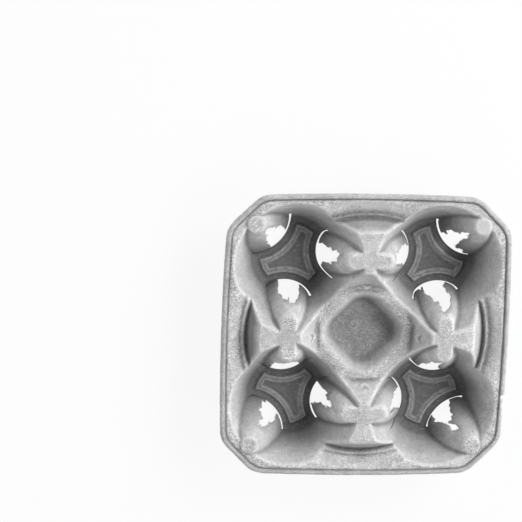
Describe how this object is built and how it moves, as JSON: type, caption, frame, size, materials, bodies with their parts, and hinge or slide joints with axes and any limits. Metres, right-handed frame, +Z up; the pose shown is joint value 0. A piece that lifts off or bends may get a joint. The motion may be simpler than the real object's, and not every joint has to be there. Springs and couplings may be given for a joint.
{
  "type": "cup carrier tray",
  "caption": "Square moulded pulp tray with round cup wells at its corners, torn spring tabs round each well, raised posts between the wells and a sunk pocket in the middle.",
  "frame": {"origin": "middle of the tray, level with the undersides of the cell floors that it stands on", "axes": "+Z up out of the cells, +X towards the side with the torn nick in its lip, +Y along that side"},
  "size_m": [0.215, 0.215, 0.0445],
  "materials": {
    "pulp": "matt moulded fibre, rough, unprinted"
  },
  "bodies": {
    "root": {"tray": "pulp"}
  },
  "joints": []
}
